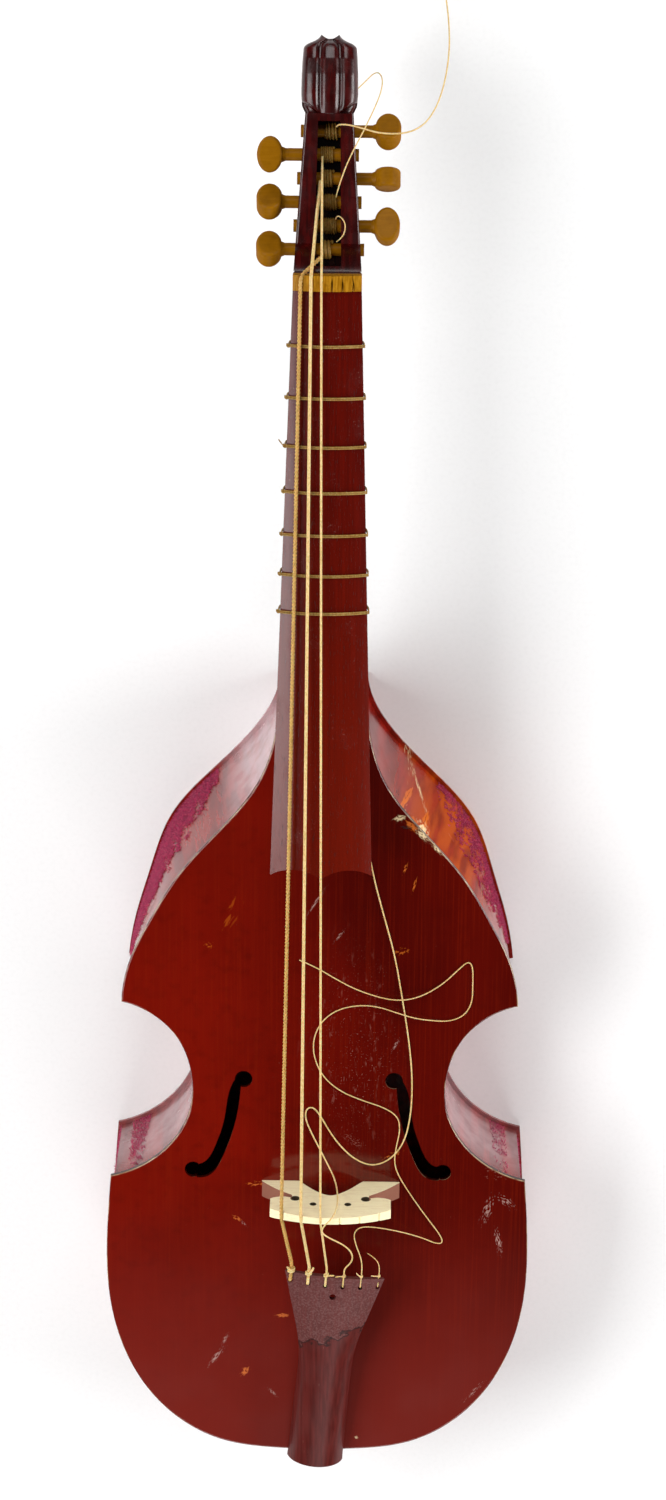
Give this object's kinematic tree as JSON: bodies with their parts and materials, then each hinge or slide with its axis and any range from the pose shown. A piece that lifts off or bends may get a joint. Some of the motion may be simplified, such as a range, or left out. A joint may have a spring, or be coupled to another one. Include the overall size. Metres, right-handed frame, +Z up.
{
  "type": "bass viol",
  "caption": "Large bowed string instrument with a flat back, deep ribs, a fretted neck, friction pegs, a free-standing bridge and a hooked tailpiece; some strings are broken.",
  "frame": {"origin": "centre of the bounding box in plan, on the plane of the outer face of the back", "axes": "+X to the treble side, +Y along the strings from the tail to the head, +Z up from the back to the belly"},
  "size_m": [0.321, 1.1299, 0.1685],
  "materials": {
    "belly": "glossy dark red-brown spirit varnish",
    "rib_varnish": "glossy orange-brown to red varnish",
    "bare_spruce": "planed, unvarnished",
    "neck_varnish": "glossy dark red varnish",
    "fingerboard": "polished, dark red-brown",
    "tailpiece": "worn semi-gloss",
    "boxwood": "matte, hand-turned and oiled",
    "maple": "smooth, unvarnished",
    "gut": "twisted gut, semi-translucent"
  },
  "bodies": {
    "instrument": {"belly": "belly", "back": "rib_varnish", "upper_rib_treble": "rib_varnish", "upper_rib_bass": "rib_varnish", "waist_rib_treble": "rib_varnish", "waist_rib_bass": "rib_varnish", "lower_rib": "rib_varnish", "upper_block_treble": "bare_spruce", "upper_block_bass": "bare_spruce", "lower_block_treble": "bare_spruce", "lower_block_bass": "bare_spruce", "neck_block": "bare_spruce", "tail_block": "bare_spruce", "bass_bar": "bare_spruce", "soundpost": "bare_spruce", "neck": "neck_varnish", "pegbox": "neck_varnish", "finial": "neck_varnish", "hook_bar": "neck_varnish", "fingerboard": "fingerboard", "tailpiece": "tailpiece", "nut": "boxwood", "bridge": "maple", "string_1": "gut", "string_2": "gut", "string_3": "gut", "string_knots": "gut", "broken_string_4": "gut", "broken_string_5": "gut", "broken_string_6": "gut", "broken_end_peg_2": "gut", "broken_end_peg_3": "gut", "broken_end_peg_6": "gut"},
    "peg_1": {"peg_1": "boxwood", "winding_1": "gut"},
    "peg_2": {"peg_2": "boxwood", "winding_2": "gut"},
    "peg_3": {"peg_3": "boxwood", "winding_3": "gut"},
    "peg_4": {"peg_4": "boxwood", "winding_4": "gut"},
    "peg_5": {"peg_5": "boxwood", "winding_5": "gut"},
    "peg_6": {"peg_6": "boxwood", "winding_6": "gut"},
    "fret_1": {"fret_1": "gut"},
    "fret_2": {"fret_2": "gut"},
    "fret_3": {"fret_3": "gut"},
    "fret_4": {"fret_4": "gut"},
    "fret_5": {"fret_5": "gut"},
    "fret_6": {"fret_6": "gut"},
    "fret_7": {"fret_7": "gut"}
  },
  "joints": [
    {"name": "peg_1_turn", "type": "hinge", "parent": "instrument", "child": "peg_1", "pos_m": [0, 0.40202, 0.11609], "axis": [1, 0, 0], "continuous": true},
    {"name": "peg_2_turn", "type": "hinge", "parent": "instrument", "child": "peg_2", "pos_m": [0, 0.41796, 0.1127], "axis": [1, 0, 0], "continuous": true},
    {"name": "peg_3_turn", "type": "hinge", "parent": "instrument", "child": "peg_3", "pos_m": [0, 0.43391, 0.10931], "axis": [1, 0, 0], "continuous": true},
    {"name": "peg_4_turn", "type": "hinge", "parent": "instrument", "child": "peg_4", "pos_m": [0, 0.44985, 0.10592], "axis": [1, 0, 0], "continuous": true},
    {"name": "peg_5_turn", "type": "hinge", "parent": "instrument", "child": "peg_5", "pos_m": [0, 0.46579, 0.10253], "axis": [1, 0, 0], "continuous": true},
    {"name": "peg_6_turn", "type": "hinge", "parent": "instrument", "child": "peg_6", "pos_m": [0, 0.48174, 0.09914], "axis": [1, 0, 0], "continuous": true},
    {"name": "fret_1_slide", "type": "slide", "parent": "instrument", "child": "fret_1", "axis": [0, 0.9999, -0.0167], "range_m": [-0.003, 0.003]},
    {"name": "fret_2_slide", "type": "slide", "parent": "instrument", "child": "fret_2", "axis": [0, 0.9999, -0.0167], "range_m": [-0.003, 0.003]},
    {"name": "fret_3_slide", "type": "slide", "parent": "instrument", "child": "fret_3", "axis": [0, 0.9999, -0.0167], "range_m": [-0.003, 0.003]},
    {"name": "fret_4_slide", "type": "slide", "parent": "instrument", "child": "fret_4", "axis": [0, 0.9999, -0.0167], "range_m": [-0.003, 0.003]},
    {"name": "fret_5_slide", "type": "slide", "parent": "instrument", "child": "fret_5", "axis": [0, 0.9999, -0.0167], "range_m": [-0.003, 0.003]},
    {"name": "fret_6_slide", "type": "slide", "parent": "instrument", "child": "fret_6", "axis": [0, 0.9999, -0.0167], "range_m": [-0.003, 0.003]},
    {"name": "fret_7_slide", "type": "slide", "parent": "instrument", "child": "fret_7", "axis": [0, 0.9999, -0.0167], "range_m": [-0.003, 0.003]}
  ]
}
